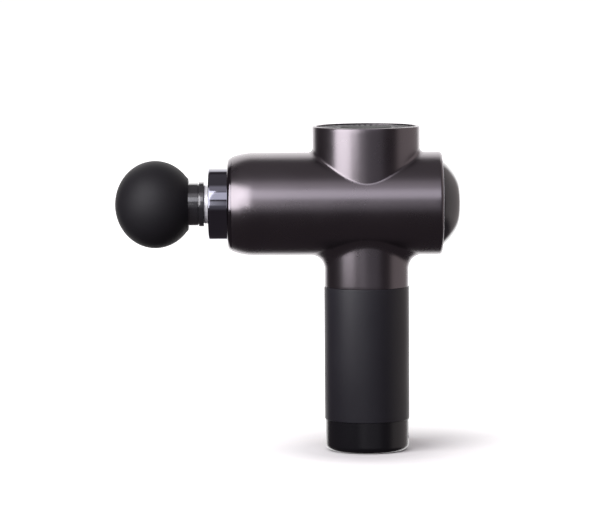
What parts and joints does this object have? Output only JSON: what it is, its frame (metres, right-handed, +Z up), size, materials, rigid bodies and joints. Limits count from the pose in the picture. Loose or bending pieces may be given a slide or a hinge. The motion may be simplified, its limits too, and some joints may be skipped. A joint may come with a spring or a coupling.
{
  "type": "massage gun",
  "caption": "Cordless percussion massage gun with a round handle, an oval barrel, a ball head and a motor housing on top.",
  "frame": {"origin": "centre of the handle base's underside, on the surface the gun stands on", "axes": "+Z up along the handle, -X out of the barrel towards the massage head, +Y across the barrel"},
  "size_m": [0.1974, 0.0686, 0.1864],
  "materials": {
    "gunmetal": "satin anodised",
    "dark_bezel": "polished",
    "steel": "satin",
    "gloss_black": "gloss",
    "aluminium": "machined",
    "piston_metal": "polished",
    "bearing_plastic": "matt",
    "rubber": "matt",
    "grip_rubber": "matt",
    "ball_rubber": "matt",
    "lamination": "satin",
    "copper": "gloss",
    "magnet": "satin",
    "bronze": "satin",
    "satin_black": "satin",
    "base_black": "satin",
    "stem_black": "satin",
    "light_ring": "translucent",
    "smoked_dome": "gloss",
    "circuit_board": "satin",
    "led": "gloss",
    "capacitor": "satin",
    "cell_wrap": "satin",
    "wire": "satin"
  },
  "bodies": {
    "housing": {"barrel_housing": "gunmetal", "motor_housing": "gunmetal", "handle_neck": "gunmetal", "nose_ring": "dark_bezel", "nose_screws": "steel", "front_collar": "gloss_black", "guide_sleeve": "satin_black", "guide_bush": "bearing_plastic", "wiper_seal": "rubber", "motor_mount": "aluminium", "motor_screws": "steel", "motor_bearings": "steel", "stator_core": "lamination", "stator_windings": "copper", "top_grille": "satin_black", "grille_cap": "gloss_black", "control_frame": "satin_black", "light_ring": "light_ring", "control_dome": "smoked_dome", "display_board": "circuit_board", "tact_switch": "satin_black", "speed_leds": "led", "controller_board": "circuit_board", "power_transistors": "satin_black", "capacitors": "capacitor", "handle_tube": "aluminium", "grip_sleeve": "grip_rubber", "battery_cells": "cell_wrap", "lower_cell_holder": "satin_black", "upper_cell_holder": "satin_black", "nickel_strips": "steel", "battery_board": "circuit_board", "protection_chips": "satin_black", "battery_leads": "wire", "base_cap": "base_black", "base_screws": "steel", "foot_pad": "rubber", "charge_board": "circuit_board", "charge_socket": "steel"},
    "motor_rotor": {"rotor_bell": "steel", "rotor_magnets": "magnet", "motor_shaft": "steel", "cooling_fan": "satin_black", "crank_disc": "steel", "crank_screw": "steel"},
    "rod": {"connecting_rod": "aluminium", "small_end_bush": "bronze", "big_end_bearing": "steel", "wrist_pin": "steel"},
    "piston": {"piston": "piston_metal"},
    "head": {"ball_skin": "ball_rubber", "ball_core": "satin_black", "head_stem": "stem_black", "head_o_rings": "rubber"},
    "button": {"power_button": "smoked_dome"}
  },
  "joints": [
    {"name": "motor_spin", "type": "hinge", "parent": "housing", "child": "motor_rotor", "pos_m": [0, 0, 0.142], "axis": [0, 0, 1], "range_deg": [0, 180]},
    {"name": "rod_swing", "type": "hinge", "parent": "motor_rotor", "child": "rod", "pos_m": [0.005, 0, 0.142], "axis": [0, 0, 1], "range_deg": [-180, 0]},
    {"name": "head_stroke", "type": "slide", "parent": "housing", "child": "piston", "axis": [-1, 0, 0], "range_m": [0, 0.01]},
    {"name": "head_release", "type": "slide", "parent": "piston", "child": "head", "axis": [-1, 0, 0], "range_m": [0, 0.022]},
    {"name": "button_press", "type": "slide", "parent": "housing", "child": "button", "axis": [-1, 0, 0], "range_m": [0, 0.0008], "stiffness_N_per_m": 1500, "springref_m": -0.0005}
  ],
  "couplings": [
    {"joint": "rod_swing", "follows": "motor_spin", "ratio": -1},
    {"joint": "head_stroke", "follows": "motor_spin", "m_per_rad": 0.003183}
  ]
}
